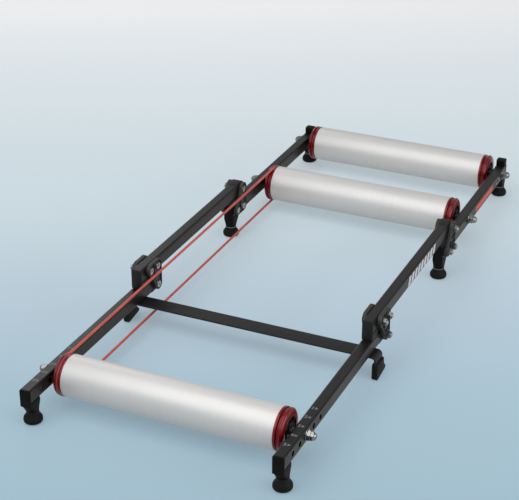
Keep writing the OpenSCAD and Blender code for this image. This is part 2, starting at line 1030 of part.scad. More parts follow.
middle_rail_left();
middle_rail_right();
middle_plug_left();
middle_plug_right();
middle_knuckle_left();
middle_knuckle_right();
front_hinge_plates_left();
front_hinge_plates_right();
front_hinge_bolts();
front_pivot_bolts();
front_hinge_nuts();
drive_belt();
front_rail_left();
front_rail_right();
front_knuckle_left();
front_knuckle_right();
front_socket_left();
front_socket_right();
front_foot_left();
front_foot_right();
front_foot_rings();
cross_bar();
cross_bar_shoes();
cross_bar_screws();
front_axle();
front_axle_nuts();
front_axle_collars();
rear_rail_left();
rear_rail_right();
rear_hinge_plates_left();
rear_hinge_plates_right();
rear_hinge_bolts();
rear_pivot_bolts();
rear_hinge_nuts();
hinge_socket_left();
hinge_socket_right();
hinge_foot_left();
hinge_foot_right();
rear_post_left();
rear_post_right();
rear_foot_left();
rear_foot_right();
rear_foot_rings();
middle_axle();
rear_axle();
rear_axle_nuts();
rear_axle_collars();
front_drum();
front_pulley_caps();
front_hub_discs();
front_bearings();
middle_drum();
middle_pulley_caps();
middle_hub_discs();
middle_bearings();
rear_drum();
rear_pulley_caps();
rear_hub_discs();
rear_bearings();
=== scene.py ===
import math

import bmesh
import bpy
import numpy as np
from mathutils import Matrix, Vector


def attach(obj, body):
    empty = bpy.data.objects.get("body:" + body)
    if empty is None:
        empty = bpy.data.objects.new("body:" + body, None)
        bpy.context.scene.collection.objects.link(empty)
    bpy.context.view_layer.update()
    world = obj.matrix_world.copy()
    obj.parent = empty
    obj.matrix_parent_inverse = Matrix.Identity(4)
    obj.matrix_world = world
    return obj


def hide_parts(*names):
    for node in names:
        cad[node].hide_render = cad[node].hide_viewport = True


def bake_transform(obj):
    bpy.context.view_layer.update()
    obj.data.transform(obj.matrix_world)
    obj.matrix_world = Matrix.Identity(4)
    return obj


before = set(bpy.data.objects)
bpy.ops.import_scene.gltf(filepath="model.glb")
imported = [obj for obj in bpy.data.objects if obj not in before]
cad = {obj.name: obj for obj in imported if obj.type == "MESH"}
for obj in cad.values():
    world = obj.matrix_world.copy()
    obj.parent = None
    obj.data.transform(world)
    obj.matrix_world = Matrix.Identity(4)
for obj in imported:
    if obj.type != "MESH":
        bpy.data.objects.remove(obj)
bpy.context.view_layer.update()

# The view. The camera stands to the right of the front drum and looks back along the frame.
# Its place comes from corners of the object. The image centre lies a little above the
# optical axis, so the lens is shifted by that much.
FOCAL_PIXELS, SHIFT_PIXELS = 1460.3, 12.03
IMAGE_WIDTH = 519
camera_data = bpy.data.cameras.new("view")
camera_data.sensor_width = 36.0
camera_data.lens = FOCAL_PIXELS / IMAGE_WIDTH * camera_data.sensor_width
camera_data.shift_y = SHIFT_PIXELS / IMAGE_WIDTH
camera_data.clip_end = 60
camera = bpy.data.objects.new("view", camera_data)
camera.location = (0.99153, -2.37429, 1.40504)
looks_at = Vector((-0.00441, -0.17719, 0.15181))
camera.rotation_euler = (looks_at - camera.location).to_track_quat("-Z", "Y").to_euler()
bpy.context.scene.collection.objects.link(camera)
bpy.context.scene.camera = camera
bpy.context.scene.view_settings.view_transform = "Standard"


# The studio: a seamless paper sweep, grey at the far end and pale blue nearer the camera.
# It is matt, so it keeps the soft shadows. One wide soft box hangs over the object, a smaller one
# stands low on the right, and a third lights the left rails from the back.
def linear(code):
    """Linear RGBA of an sRGB hex colour such as 'C8D0D8', by the sRGB curve."""
    parts = np.array([int(code[i:i + 2], 16) / 255 for i in (0, 2, 4)])
    parts = np.where(parts <= 0.04045, parts / 12.92, ((parts + 0.055) / 1.055) ** 2.4)
    return (*parts, 1.0)


def add(tree, kind, inputs=None, **settings):
    """One shader node. An input's value is a number, a colour or another node's output."""
    made = tree.nodes.new("ShaderNode" + kind)
    for name, value in settings.items():
        setattr(made, name, value)
    for name, value in (inputs or {}).items():
        if isinstance(value, bpy.types.NodeSocket):
            tree.links.new(value, made.inputs[name])
        else:
            made.inputs[name].default_value = value
    return made


def blank(name):
    """A material with no nodes yet, and its tree."""
    material = bpy.data.materials.new(name)
    material.use_nodes = True
    material.node_tree.nodes.clear()
    return material, material.node_tree


def spread(tree, value, low, high, start=0.0, stop=1.0):
    """Maps a value from start..stop to low..high, held at both ends."""
    return add(tree, "MapRange", {"Value": value, "From Min": start, "From Max": stop,
                                  "To Min": low, "To Max": high}).outputs["Result"]


def product(tree, first, second):
    """Two values multiplied."""
    return add(tree, "Math", {0: first, 1: second}, operation="MULTIPLY").outputs[0]


PAPER_NEAR, PAPER_FAR = -1.2, 2.2
PAPER_STOPS = ((0.24, "A8C1CF"), (0.36, "BBCDD9"), (0.45, "CBDAE2"), (0.6, "D8E4EA"), (0.76, "E8F0F4"))
EVEN_SHARE, MIRRORED_SHARE = 0.45, 0.9


def paper():
    """Matt paper. Its colour runs along the floor in the camera's level direction. The camera sees
    nearly half of it evenly lit, so shadows stay soft, and the object mirrors it as plain grey."""
    material, tree = blank("seamless_paper")
    place = add(tree, "TexCoord").outputs["Object"]
    axis = looks_at - camera.location
    axis.z = 0
    axis.normalize()
    along = add(tree, "VectorMath", {0: place, 1: tuple(axis)}, operation="DOT_PRODUCT")
    share = spread(tree, along.outputs["Value"], 0.0, 1.0, PAPER_NEAR, PAPER_FAR)
    ramp = add(tree, "ValToRGB", {"Fac": share})
    stops = ramp.color_ramp.elements
    stops[0].position, stops[0].color = 0.15, linear("9FB9C7")
    stops[1].position, stops[1].color = 0.9, linear("FAFBFC")
    for position, code in PAPER_STOPS:
        stops.new(position).color = linear(code)
    matt = add(tree, "BsdfDiffuse", {"Color": ramp.outputs["Color"], "Roughness": 0.0})
    plain = add(tree, "Emission", {"Color": ramp.outputs["Color"], "Strength": 1.0})
    mirrored_grey = add(tree, "Emission", {"Color": linear("C4C4C4"), "Strength": 1.0})
    path = add(tree, "LightPath")
    even = product(tree, path.outputs["Is Camera Ray"], EVEN_SHARE)
    seen = add(tree, "MixShader", {0: even, 1: matt.outputs[0], 2: plain.outputs[0]})
    gloss = product(tree, path.outputs["Is Glossy Ray"], MIRRORED_SHARE)
    both = add(tree, "MixShader", {0: gloss, 1: seen.outputs[0], 2: mirrored_grey.outputs[0]})
    add(tree, "OutputMaterial", {"Surface": both.outputs[0]})
    return material


sweep = bpy.data.meshes.new("paper_sweep")
sweep.from_pydata([(-9, -9, 0), (9, -9, 0), (9, 12, 0), (-9, 12, 0)], [], [(0, 1, 2, 3)])
sweep.materials.append(paper())
floor = bpy.data.objects.new("paper_sweep", sweep)
bpy.context.scene.collection.objects.link(floor)
floor.location.z = -0.0004  # clear of the rubber soles, which stand at 0

world = bpy.data.worlds.new("studio")
bpy.context.scene.world = world
world.use_nodes = True
world.node_tree.nodes.clear()
air = add(world.node_tree, "Background", {"Color": linear("EEEEEE"), "Strength": 0.52})
horizon = add(world.node_tree, "Background", {"Color": linear("E6E9EB"), "Strength": 1.0})
eye = add(world.node_tree, "LightPath").outputs["Is Camera Ray"]
sky = add(world.node_tree, "MixShader", {0: eye, 1: air.outputs[0], 2: horizon.outputs[0]})
add(world.node_tree, "OutputWorld", {"Surface": sky.outputs[0]})


def soft_box(name, place, aim, width, height, watts, colour):
    """A rectangular lamp at a place, turned towards a point."""
    lamp = bpy.data.lights.new(name, "AREA")
    lamp.shape = "RECTANGLE"
    lamp.size, lamp.size_y, lamp.energy = width, height, watts
    lamp.color = linear(colour)[:3]
    made = bpy.data.objects.new(name, lamp)
    made.location = place
    made.rotation_euler = (Vector(aim) - Vector(place)).to_track_quat("-Z", "Y").to_euler()
    bpy.context.scene.collection.objects.link(made)


soft_box("soft_box_over", (-0.3, -1.45, 2.4), (0, 0.05, 0), 3.4, 3.5, 62, "FFFFFF")
soft_box("soft_box_right", (2.3, -0.3, 0.75), (0.2, 0, 0.06), 2.2, 0.9, 22, "FFFFFF")
soft_box("soft_box_back_left", (-2.5, 2.7, 2.0), (-0.23, 0, 0.1), 0.8, 2.4, 11, "FFFFFF")


# Rails: extruded rectangular aluminium tube, 21 by 26 mm with round edges, powder coated black.
# The coat is a satin black with the faint orange peel of a sprayed powder. Where the tube's edge turns
# from the top to the side, a blacker band is painted in as its dark reflection. The sawn and drilled CAD
# tubes are shown.
MILLIMETRE = 0.001
FRONT_AXLE_Y, AXLE_Z = -540.0, 60.0
RAIL_X, RAIL_IN, RAIL_OUT = 234.5, 224.0, 245.0
LOW_TOP, LOW_BOTTOM = 73.0, 47.0
HIGH_TOP, HIGH_BOTTOM = 113.0, 87.0


def tinted(tree, colour, share):
    """A hex colour, or a colour's socket, made lighter or darker by a share."""
    base = linear(colour)[:3] if isinstance(colour, str) else colour
    return add(tree, "VectorMath", {0: base, "Scale": share}, operation="SCALE").outputs[0]


def between(tree, share, first, second):
    """A colour between two, each given as a hex colour or as a socket."""
    ends = [linear(end) if isinstance(end, str) else end for end in (first, second)]
    mix = add(tree, "Mix", {"Factor": share, "A": ends[0], "B": ends[1]}, data_type="RGBA")
    return mix.outputs["Result"]


def finish_shader(tree, colour, roughness, relief=None, strength=0.0, distance=0.0002, **more):
    """The main shader on the material's output. A relief's height gives the bump, whose distance
    is in metres. More names set the shader's other sockets, '_' standing for a space."""
    inputs = {"Base Color": colour, "Roughness": roughness}
    if relief is not None:
        bump = add(tree, "Bump", {"Height": relief, "Strength": strength, "Distance": distance})
        inputs["Normal"] = bump.outputs[0]
    inputs.update({name.replace("_", " "): value for name, value in more.items()})
    shader = add(tree, "BsdfPrincipled", inputs)
    add(tree, "OutputMaterial", {"Surface": shader.outputs[0]})


def powder_coated_aluminium(name, face, edge):
    """Satin powder coat: noise of 1.3 mm for the peel, finer noise for the colour's grain. Painted
    dark reflection on the round edges: the edge colour's share grows with (normal x times normal z) squared."""
    material, tree = blank(name)
    coordinates = add(tree, "TexCoord")
    place = coordinates.outputs["Object"]
    turn = add(tree, "SeparateXYZ", {0: coordinates.outputs["Normal"]})
    across = product(tree, turn.outputs["X"], turn.outputs["X"])
    upward = product(tree, turn.outputs["Z"], turn.outputs["Z"])
    painted_dark_edge_share = spread(tree, product(tree, across, upward), 0.0, 1.0, 0.02, 0.16)
    grain = add(tree, "TexNoise", {"Vector": place, "Scale": 1100.0, "Detail": 3.0})
    cloud = add(tree, "TexNoise", {"Vector": place, "Scale": 14.0, "Detail": 2.0})
    peel = add(tree, "TexNoise", {"Vector": place, "Scale": 760.0, "Detail": 1.0})
    pale = spread(tree, grain.outputs[0], 0.82, 1.2, 0.35, 0.75)
    level = product(tree, pale, spread(tree, cloud.outputs[0], 0.9, 1.1))
    tint = tinted(tree, between(tree, painted_dark_edge_share, face, edge), level)
    finish_shader(tree, tint, spread(tree, cloud.outputs[0], 0.33, 0.41), peel.outputs[0], 0.25,
                  IOR=1.45, Specular_IOR_Level=0.45)
    return material


# The second colour, 030303, is the painted dark reflection on the tube's round edges.
rail_coat = powder_coated_aluminium("powder_coated_aluminium", "111111", "030303")


def dress(names, material):
    """Gives CAD nodes a material in their own slots."""
    for name in names:
        cad[name].data.materials.clear()
        cad[name].data.materials.append(material)


dress([f"{part}_rail_{side}" for part in ("front", "middle", "rear") for side in ("left", "right")],
      rail_coat)


# Scale marks on the front rails: pale pad-printed figures, one beside each of the five holes,
# so that both ends of the axle go in holes of the same number.
def bevelled_offset(outline, inward):
    """Moves each point of a closed loop inward, to the left of its travel, along the mitre."""
    ahead = np.roll(outline, -1, 0) - outline
    ahead /= np.linalg.norm(ahead, axis=1)[:, None]
    normal = np.stack([-ahead[:, 1], ahead[:, 0]], 1)
    before = np.roll(normal, 1, 0)
    mitre = (normal + before) / (1 + np.sum(normal * before, 1))[:, None]
    return outline + inward * mitre


def arc(centre, radius, start, stop, count):
    """Points on a circle from one angle to another, in degrees."""
    turn = np.radians(np.linspace(start, stop, count))
    return np.array(centre) + radius * np.stack([np.cos(turn), np.sin(turn)], 1)


def loft(sections, closed_along=False):
    """Skin over closed sections with equal point counts. The first and last are capped, unless
    the skin runs round into the first again."""
    sections = np.asarray(sections, float)
    rows, count = sections.shape[:2]
    last = rows if closed_along else rows - 1
    row = np.arange(last)[:, None] * count
    here = np.arange(count)[None, :]
    beside = (here + 1) % count
    up = (np.arange(last)[:, None] + 1) % rows * count
    quads = np.stack([row + here, row + beside, up + beside, up + here], -1).reshape(-1, 4)
    faces = quads.tolist()
    if not closed_along:
        faces.append(list(range(count))[::-1])
        faces.append(list(range((rows - 1) * count, rows * count)))
    return sections.reshape(-1, 3), faces


def enclosed(part):
    """Six times the volume inside a part, from its faces split into fans."""
    points, faces = part
    total = 0.0
    for size in {len(face) for face in faces}:
        group = points[np.array([face for face in faces if len(face) == size])]
        first = group[:, :1]
        total += np.sum(np.cross(group[:, 1:-1], group[:, 2:]) * first)
    return total


def mirrored(part):
    """The same part on the left side."""
    points, faces = part
    return points * np.array([-1, 1, 1]), [face[::-1] for face in faces]


def piece(name, parts, body, material, stands_for=(), sharp=32):
    """One mesh from parts in millimetres. A part whose enclosed volume comes out negative is
    turned, so that faces point outwards, and doubles at poles are merged. Edges over 'sharp'
    degrees stay hard. A body given as a name takes the piece along; with any other body, the
    piece stays where it is built."""
    points, faces, first = [], [], 0
    for part in parts:
        verts, polygons = part
        if enclosed(part) < 0:
            polygons = [face[::-1] for face in polygons]
        points.append(verts)
        faces += [[index + first for index in face] for face in polygons]
        first += len(verts)
    mesh = bpy.data.meshes.new(name)
    mesh.from_pydata((np.concatenate(points) * MILLIMETRE).tolist(), [], faces)
    work = bmesh.new()
    work.from_mesh(mesh)
    bmesh.ops.remove_doubles(work, verts=work.verts, dist=2e-7)
    bmesh.ops.dissolve_degenerate(work, dist=1e-7, edges=work.edges)
    work.to_mesh(mesh)
    work.free()
    mesh.shade_smooth()
    mesh.set_sharp_from_angle(angle=math.radians(sharp))
    mesh.materials.append(material)
    made = bpy.data.objects.new(name, mesh)
    bpy.context.scene.collection.objects.link(made)
    if isinstance(body, str):
        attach(made, body)
    else:
        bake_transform(made)
    if stands_for:
        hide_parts(*stands_for)
    return made


def worn_flat_colour(name, colour):
    """A thin flat colour, a little worn where the grain of 1.1 mm is high: ink on the powder coat,
    and the slot trims' nylon."""
    material, tree = blank(name)
    place = add(tree, "TexCoord").outputs["Object"]
    wear = add(tree, "TexNoise", {"Vector": place, "Scale": 900.0, "Detail": 2.0})
    finish_shader(tree, tinted(tree, colour, spread(tree, wear.outputs[0], 0.55, 1.0, 0.3, 0.6)), 0.6)
    return material


HOLE_PITCH, HOLE_COUNT = 29.0, 5
FIGURE_X, FIGURE_HEIGHT, POINTER_X, INK_THICK = 230.5, 7.5, 237.5, 0.1
ink = worn_flat_colour("pad_printed_ink", "76777A")


def printed_figures(text, height, thickness):
    """Figures as flat prisms of ink, each 'height' tall, lying in X and Y about the origin. A
    figure is 0.7 of its font's size tall."""
    curve = bpy.data.curves.new("figures", "FONT")
    curve.body = text
    curve.size = height / 0.7
    curve.extrude = thickness / 2
    curve.offset = 0.3
    curve.resolution_u = 3
    curve.align_x, curve.align_y = "CENTER", "CENTER"
    holder = bpy.data.objects.new("figures", curve)
    bpy.context.scene.collection.objects.link(holder)
    bpy.context.view_layer.update()
    shape = holder.evaluated_get(bpy.context.evaluated_depsgraph_get()).to_mesh()
    points = np.array([corner.co for corner in shape.vertices])
    faces = [list(polygon.vertices) for polygon in shape.polygons]
    bpy.data.objects.remove(holder)
    return points, faces


def scale_marks():
    """Figures 1 to 5 beside the holes, and a small triangle that points outwards at each hole."""
    parts = []
    pointer = np.array([[-2.6, -3.4], [2.8, 0.0], [-2.6, 3.4]])
    for number in range(HOLE_COUNT):
        along = FRONT_AXLE_Y + (number - HOLE_COUNT // 2) * HOLE_PITCH
        points, faces = printed_figures(str(HOLE_COUNT - number), FIGURE_HEIGHT, INK_THICK)
        parts.append((points + [FIGURE_X, along + 1.0, LOW_TOP + 0.07], faces))
        lower = np.column_stack([pointer + [POINTER_X, along + 1.5], np.full(3, LOW_TOP + 0.02)])
        parts.append(loft([lower, lower + [0, 0, INK_THICK]]))
    return parts


marks = scale_marks()
piece("front_rail_marks_right", marks, "front_frame", ink)
piece("front_rail_marks_left", [(points - [2 * RAIL_X, 0, 0], faces) for points, faces in marks],
      "front_frame", ink)


# Side graphics: a row of slanted bars printed on each middle rail's outer face, and a red vinyl
# strip with round corners stuck on each rear rail's outer face. Both are plain.
GRAPHIC_X = RAIL_OUT - 0.03  # the back of ink and vinyl, just under the rail's face


def slanted_bars(first, last, low, high, count):
    """Leaning bars in the side view, each two thirds of its pitch wide and leaning by a third of
    its height."""
    pitch = (last - first) / count
    lean = (high - low) * 0.35
    parts = []
    for number in range(count):
        start = first + number * pitch
        width = pitch * 0.66
        outline = np.array([[start, low], [start + width, low],
                            [start + width + lean, high], [start + lean, high]])
        side = np.column_stack([np.full(4, GRAPHIC_X), outline])
        parts.append(loft([side, side + [INK_THICK, 0, 0]]))
    return parts


bars = slanted_bars(first=493 + FRONT_AXLE_Y, last=656 + FRONT_AXLE_Y, low=91.0, high=108.5, count=9)
white_ink = worn_flat_colour("white_printed_ink", "D8DADB")
piece("middle_rail_bars_right", bars, "middle_frame", white_ink)
piece("middle_rail_bars_left", [mirrored(part) for part in bars], "middle_frame", white_ink)


def rounded_loop(width, height, radius, steps):
    """A rectangle with round corners about the origin, counter-clockwise."""
    corners = [(1, -1, -90), (1, 1, 0), (-1, 1, 90), (-1, -1, 180)]
    return np.concatenate([
        arc((sx * (width / 2 - radius), sy * (height / 2 - radius)), radius, start, start + 90, steps)
        for sx, sy, start in corners])


def red_vinyl():
    """Printed vinyl: gloss red over faint ripples of 2 mm, with a darker rule along both long
    edges, which starts 5.5 to 5.9 mm off the strip's middle line."""
    material, tree = blank("red_vinyl_strip")
    place = add(tree, "TexCoord").outputs["Object"]
    height = add(tree, "SeparateXYZ", {0: place}).outputs["Z"]
    off = add(tree, "Math", {0: height, 1: AXLE_Z * MILLIMETRE}, operation="SUBTRACT")
    away = add(tree, "Math", {0: off.outputs[0]}, operation="ABSOLUTE")
    rule = spread(tree, away.outputs[0], 0.0, 1.0, 0.0055, 0.0059)
    grain = add(tree, "TexNoise", {"Vector": place, "Scale": 500.0})
    finish_shader(tree, between(tree, rule, "C8402F", "92261F"), 0.36, grain.outputs[0], 0.06,
                  Specular_IOR_Level=0.25)
    return material


STRIP_LONG, STRIP_HIGH, STRIP_THICK = 127.0, 14.0, 0.14
strip_loop = rounded_loop(STRIP_LONG, STRIP_HIGH, 2, 5) + [1000 + FRONT_AXLE_Y, AXLE_Z]
strip_side = np.column_stack([np.full(len(strip_loop), GRAPHIC_X), strip_loop])
strip = loft([strip_side, strip_side + [STRIP_THICK, 0, 0]])
vinyl = red_vinyl()
piece("rear_rail_strip_right", [strip], "rear_frame", vinyl)
piece("rear_rail_strip_left", [mirrored(strip)], "rear_frame", vinyl)


# Slot trims: a pale nylon frame round the slot near each rear rail's end, snapped in from outside.
SLOT_AT = np.array([1102.0 + FRONT_AXLE_Y, AXLE_Z])
TRIM_BACK, TRIM_FACE = RAIL_OUT - 0.1, RAIL_OUT + 0.9


def slot_frame():
    """A rounded rectangle with a rounded slot in it, both outlines on the same count of points.
    The face's two edges are drawn 6 % in, which chamfers them."""
    outer = rounded_loop(27, 12, 3.5, 8) + SLOT_AT
    inner = rounded_loop(15.2, 6.2, 3.05, 8) + SLOT_AT
    rows = [(TRIM_BACK, outer), (TRIM_FACE - 0.4, outer), (TRIM_FACE, outer + 0.06 * (SLOT_AT - outer)),
            (TRIM_FACE, inner + 0.06 * (inner - SLOT_AT)), (TRIM_FACE - 0.3, inner), (TRIM_BACK, inner)]
    loops = [np.column_stack([np.full(len(flat), x), flat]) for x, flat in rows]
    return loft(loops, closed_along=True)


trim_nylon = worn_flat_colour("pale_grey_nylon", "77797B")
trim = slot_frame()
piece("slot_trim_right", [trim], "rear_frame", trim_nylon)
piece("slot_trim_left", [mirrored(trim)], "rear_frame", trim_nylon)


# Moulded end caps: glass-filled nylon, black with a fine spark-eroded grain. A cap closes the
# rail's end, and the foot's socket tapers down from it in one moulding. The rear ones carry a post.
def moulded_nylon(name, colour, roughness, gloss=0.3):
    """Satin black plastic: 0.45 mm grain as bump, faint flow clouds in the colour."""
    material, tree = blank(name)
    place = add(tree, "TexCoord").outputs["Object"]
    grain = add(tree, "TexVoronoi", {"Vector": place, "Scale": 2200.0})
    flow = add(tree, "TexNoise", {"Vector": place, "Scale": 45.0, "Detail": 2.0})
    tint = tinted(tree, colour, spread(tree, flow.outputs[0], 0.8, 1.25))
    rough = spread(tree, flow.outputs[0], roughness - 0.05, roughness + 0.07)
    finish_shader(tree, tint, rough, grain.outputs[0], 0.18, IOR=1.53, Specular_IOR_Level=gloss)
    return material


nylon = moulded_nylon("moulded_glass_filled_nylon", "161616", 0.52)
# The end caps' nylon is painted darker, 0A0A0A against 161616, for the shade on their front faces.
cap_nylon_painted_darker = moulded_nylon("moulded_end_cap_nylon", "0A0A0A", 0.5, gloss=0.1)


def rounding(depth, steps=4):
    """Pairs (along, inward) of a quarter-round edge, from the face's plane to the side."""
    turn = np.linspace(0, math.pi / 2, steps)
    return [(depth * (1 - math.sin(t)), depth * (1 - math.cos(t))) for t in turn[::-1]]


def slab(outline, near, far, edge, axis="x", steps=4):
    """A closed outline carried from near to far along an axis, both rims rounded by 'edge'."""
    sections = []
    for along, inward in rounding(edge, steps):
        sections.append((near + along, inward))
    for along, inward in rounding(edge, steps)[::-1]:
        sections.append((far - along, inward))
    loops = []
    for place, inward in sections:
        flat = bevelled_offset(outline, inward)
        side = np.full(len(flat), place)
        order = (side, flat[:, 0], flat[:, 1]) if axis == "x" else (flat[:, 0], side, flat[:, 1])
        loops.append(np.stack(order, 1))
    return loft(loops)


def round_corners(points, radii, steps=5):
    """A polygon whose corners are arcs that touch both sides. An arc starts radius / tan(half
    the corner's angle) from the corner, and its centre lies radius / sin(half) from it."""
    points = np.asarray(points, float)
    loop = []
    for index, (corner, radius) in enumerate(zip(points, radii)):
        back = points[index - 1] - corner
        ahead = points[(index + 1) % len(points)] - corner
        back /= np.linalg.norm(back)
        ahead /= np.linalg.norm(ahead)
        half = math.acos(np.clip(back @ ahead, -1, 1)) / 2
        touch = radius / math.tan(half)
        centre = corner + (back + ahead) / np.linalg.norm(back + ahead) * radius / math.sin(half)
        start, stop = corner + back * touch - centre, corner + ahead * touch - centre
        first = math.atan2(start[1], start[0])
        bend = (math.atan2(stop[1], stop[0]) - first + math.pi) % (2 * math.pi) - math.pi
        turn = first + np.linspace(0, 1, steps) * bend
        loop += list(centre + radius * np.stack([np.cos(turn), np.sin(turn)], 1))
    return np.array(loop)


FLUSH = 0.03  # keeps the cap's skin off the tube's where the two are flush
CAP_LOW, CAP_THICK = 40.0, 3.0
SOCKET_FOOT_Z, SOCKET_WIDTH, SOCKET_LONG, NECK_R = 22.6, 21.0, 31.0, 11.0
STRAIGHT = 0.33  # share of the socket's height where its front drops straight


def end_cap(end, along, foot_in, step_in=0.0):
    """A cap over the rail's end with the socket below. The socket's front drops straight for
    8 mm, steps in by step_in, then all its sides run to the foot's round neck: the front evenly,
    the back by the share of the height to the power 1.15, and the corners from 1.2 to 10.9 mm."""
    inner, outer = RAIL_IN + FLUSH, RAIL_OUT - FLUSH
    cap_outline = round_corners([(inner, CAP_LOW), (outer, CAP_LOW), (outer, LOW_TOP), (inner, LOW_TOP)],
                                [1.5, 1.5, 3.5, 3.5])
    near, far = sorted((end + FLUSH * along, end + CAP_THICK * along))
    parts = [slab(cap_outline, near, far, 0.9, axis="y")]
    loops = []
    for share in np.concatenate([np.linspace(0, STRAIGHT, 6), np.linspace(STRAIGHT + 0.015, 1, 11)]):
        taper = max(0.0, (share - STRAIGHT) / (1 - STRAIGHT))
        front = taper * (foot_in - NECK_R) + (step_in * (1 - taper) if share > STRAIGHT else 0.0)
        back = SOCKET_LONG + (foot_in + NECK_R - SOCKET_LONG) * share ** 1.15
        length = back - front
        width = SOCKET_WIDTH + share
        radius = 1.2 + 9.7 * max(0.0, (share - 0.3) / 0.7) ** 0.8
        loop = rounded_loop(width, length, min(radius, width / 2 - 0.01, length / 2 - 0.01), 7)
        height = LOW_BOTTOM - 0.02 + (SOCKET_FOOT_Z - LOW_BOTTOM) * share
        middle = [RAIL_X, end + along * (front + back) / 2]
        loops.append(np.column_stack([loop + middle, np.full(len(loop), height)]))
    parts.append(loft(loops))
    return parts, end + foot_in * along


def finish_sides(name, parts, body, material, stem):
    """The same parts on the right and on the left, each standing for that side's CAD node."""
    piece(name + "_right", parts, body, material, [stem + "_right"])
    piece(name + "_left", [mirrored(part) for part in parts], body, material, [stem + "_left"])


FRONT_END = -94 + FRONT_AXLE_Y
HINGE_END = 709 + FRONT_AXLE_Y
REAR_END = 1174 + FRONT_AXLE_Y
front_cap, front_foot_y = end_cap(FRONT_END, 1, 20, step_in=2.4)
hinge_cap, hinge_foot_y = end_cap(HINGE_END, 1, 12)
rear_cap, rear_foot_y = end_cap(REAR_END, -1, 12)
POST_DEEP, POST_TOP, POST_HALF = 18.0, 86.7, 9.5
post_outline = round_corners([(REAR_END - POST_DEEP, LOW_TOP - 3), (REAR_END, LOW_TOP - 3),
                              (REAR_END, POST_TOP), (REAR_END - POST_DEEP, POST_TOP)], [0.5, 0.5, 2.5, 2.5])
rear_cap.append(slab(post_outline, RAIL_X - POST_HALF, RAIL_X + POST_HALF, 1.0))
finish_sides("front_end_cap", front_cap, "front_frame", cap_nylon_painted_darker, "front_socket")
finish_sides("hinge_end_cap", hinge_cap, "rear_frame", cap_nylon_painted_darker, "hinge_socket")
finish_sides("rear_end_cap", rear_cap, "rear_frame", cap_nylon_painted_darker, "rear_post")


# Feet: natural rubber, moulded as a bell with a soft rim and a hollow sole, pushed on the socket's
# stem under a zinc-plated ring. The rubber is matt, with a slight bloom. The front rings are the
# same rings as the rear ones, given a darker zinc as painted shade.
def turned(profile, centre, axis="x", count=72):
    """A closed profile of (along, radius) pairs swept once round an axis."""
    profile = np.asarray(profile, float)
    turn = np.linspace(0, 2 * math.pi, count, endpoint=False)
    along = np.repeat(profile[:, :1], count, 1)
    first, second = profile[:, 1:] * np.cos(turn), profile[:, 1:] * np.sin(turn)
    order = (along, first, second) if axis == "x" else (first, second, along)
    return loft(np.stack(order, -1) + np.array(centre), closed_along=True)


def moulded_rubber():
    """Matt black rubber: pores of 0.7 mm and a grey bloom in soft patches of 11 mm."""
    material, tree = blank("moulded_rubber")
    place = add(tree, "TexCoord").outputs["Object"]
    bloom = add(tree, "TexNoise", {"Vector": place, "Scale": 90.0, "Detail": 3.0})
    pores = add(tree, "TexNoise", {"Vector": place, "Scale": 1500.0, "Detail": 2.0})
    tint = between(tree, bloom.outputs[0], "080808", "161616")
    finish_shader(tree, tint, 0.62, pores.outputs[0], 0.2, IOR=1.52, Specular_IOR_Level=0.14)
    return material


rubber = moulded_rubber()
BELL = [(0.0, 11.8), (0.5, 13.8), (1.6, 15.6), (3.2, 16.7), (5.2, 17.0), (7.6, 17.0), (9.4, 16.7),
        (10.8, 16.1), (12.3, 15.2), (13.6, 14.3), (15.0, 13.3), (16.4, 12.5), (18.3, 11.6), (19.8, 11.1),
        (21.0, 11.0), (21.0, 4.1), (7.6, 4.1), (7.6, 0.0), (2.0, 0.0), (2.0, 7.4), (1.6, 8.0), (0.0, 8.0)]


def feet(name, along, body, stem):
    """One bell under each side's socket."""
    bell = turned(BELL, (RAIL_X, along, 0), axis="z")
    finish_sides(name, [bell], body, rubber, stem)


feet("front_bell", front_foot_y, "front_frame", "front_foot")
feet("hinge_bell", hinge_foot_y, "rear_frame", "hinge_foot")
feet("rear_bell", rear_foot_y, "rear_frame", "rear_foot")


def plated_steel(name, colour, roughness, thread=None):
    """Bright plating with pits of 1.4 mm, drawn coarse so that they show. A thread's pitch in
    millimetres gives waves along X of that length instead."""
    material, tree = blank(name)
    place = add(tree, "TexCoord").outputs["Object"]
    pits = add(tree, "TexNoise", {"Vector": place, "Scale": 700.0, "Detail": 3.0})
    height, strength = pits.outputs[0], 0.1
    if thread:
        turns = add(tree, "TexWave", {"Vector": place, "Scale": 100 * math.pi / thread}, bands_direction="X")
        height, strength = turns.outputs["Fac"], 0.5
    tint = tinted(tree, colour, spread(tree, pits.outputs[0], 0.85, 1.08))
    rough = spread(tree, pits.outputs[0], roughness * 0.7, roughness * 1.5)
    finish_shader(tree, tint, rough, height, strength, 0.0003, Metallic=1.0)
    return material


dark_zinc_with_painted_shade = plated_steel("dark_zinc_steel_with_painted_shade", "38393A", 0.3)
dull_zinc = plated_steel("dull_zinc_steel", "808284", 0.3)
# The front rings get the darker zinc as painted shade; the rear rings keep the plain dull zinc.
dress(["front_foot_rings"], dark_zinc_with_painted_shade)
dress(["rear_foot_rings"], dull_zinc)


# Knuckles and stops: moulded nylon too. Each hinge turns on a rounded knuckle plugged into the
# rail's end. The middle rails' front plugs have a block below, and the rear knuckles a shoe.
FRONT_PIVOT = np.array([360 + FRONT_AXLE_Y, AXLE_Z])
REAR_PIVOT = np.array([751 + FRONT_AXLE_Y, 100.0])
MIDDLE_FRONT, MIDDLE_REAR = 302 + FRONT_AXLE_Y, 738 + FRONT_AXLE_Y
STOP_LOW = LOW_TOP + 0.3  # stops and shoes hang down to just over the low rails' tops


def front_knuckle():
    """The front rail's end: straight sides 17 mm long and a half round about the pivot."""
    stop = FRONT_PIVOT[0]
    start = stop - 17
    outline = np.concatenate([[[start, LOW_BOTTOM], [stop, LOW_BOTTOM]],
                              arc(FRONT_PIVOT, (LOW_TOP - LOW_BOTTOM) / 2, -85, 85, 20),
                              [[stop, LOW_TOP], [start, LOW_TOP]]])
    return [slab(outline, RAIL_IN, RAIL_OUT, 1.2)]


